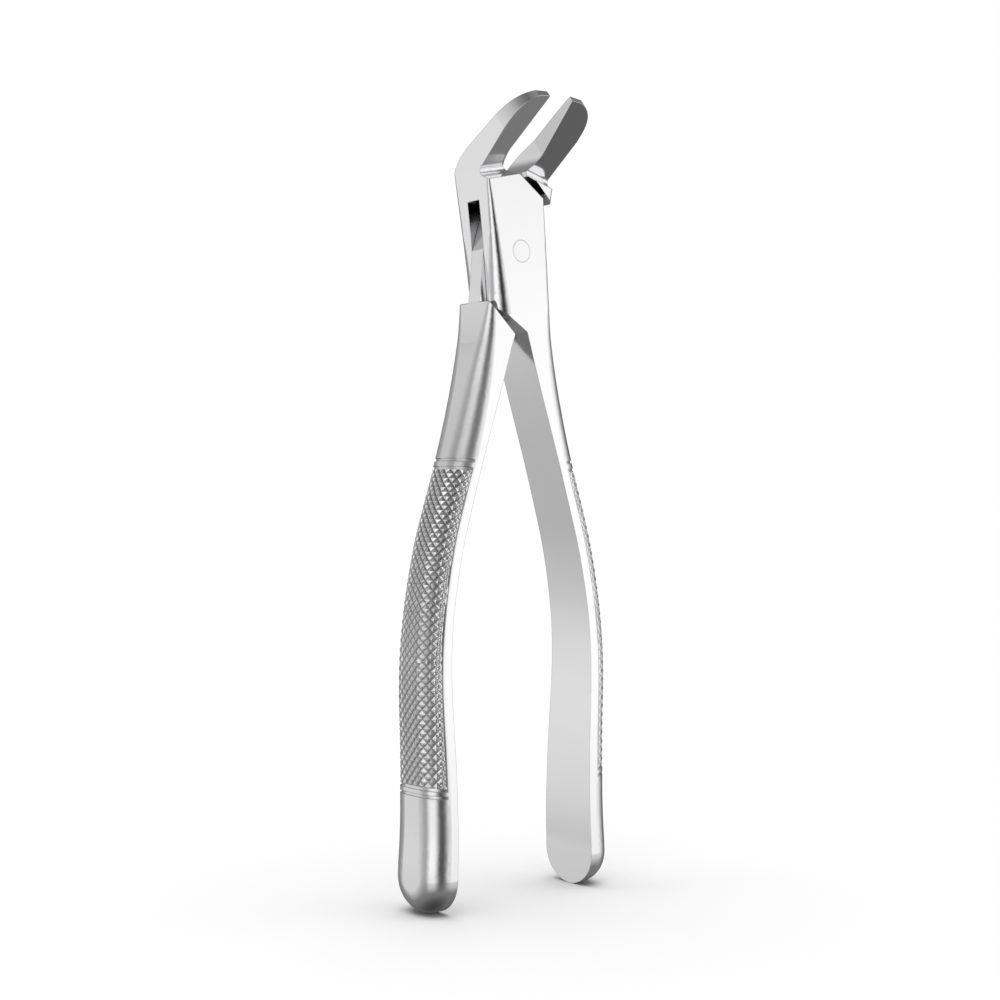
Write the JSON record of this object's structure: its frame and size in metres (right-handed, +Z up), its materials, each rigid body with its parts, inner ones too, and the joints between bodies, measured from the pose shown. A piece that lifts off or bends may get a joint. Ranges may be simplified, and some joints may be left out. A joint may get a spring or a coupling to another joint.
{
  "type": "extraction forceps",
  "caption": "Two-armed steel extraction forceps with a box joint, beaks bent well out of the handles' plane and knurled, gently bowed handles.",
  "frame": {"origin": "middle of the bounding box at the level of the handle ends", "axes": "+Z up from the handle ends to the beaks, X the opening direction with the female arm's handle at +X, Y the pin's axis with the beaks leaning to -Y"},
  "size_m": [0.0498, 0.0254, 0.1654],
  "materials": {
    "female_arm_steel": "satin polished stainless steel",
    "male_arm_steel": "satin polished stainless steel",
    "pin_steel": "ground flush, satin"
  },
  "bodies": {
    "female": {"female_arm": "female_arm_steel", "joint_pin": "pin_steel"},
    "male": {"male_arm": "male_arm_steel"}
  },
  "joints": [
    {"name": "box_joint", "type": "hinge", "parent": "female", "child": "male", "pos_m": [0, 0.00538, 0.135], "axis": [0, -1, 0], "range_deg": [-12, 9.5]}
  ]
}
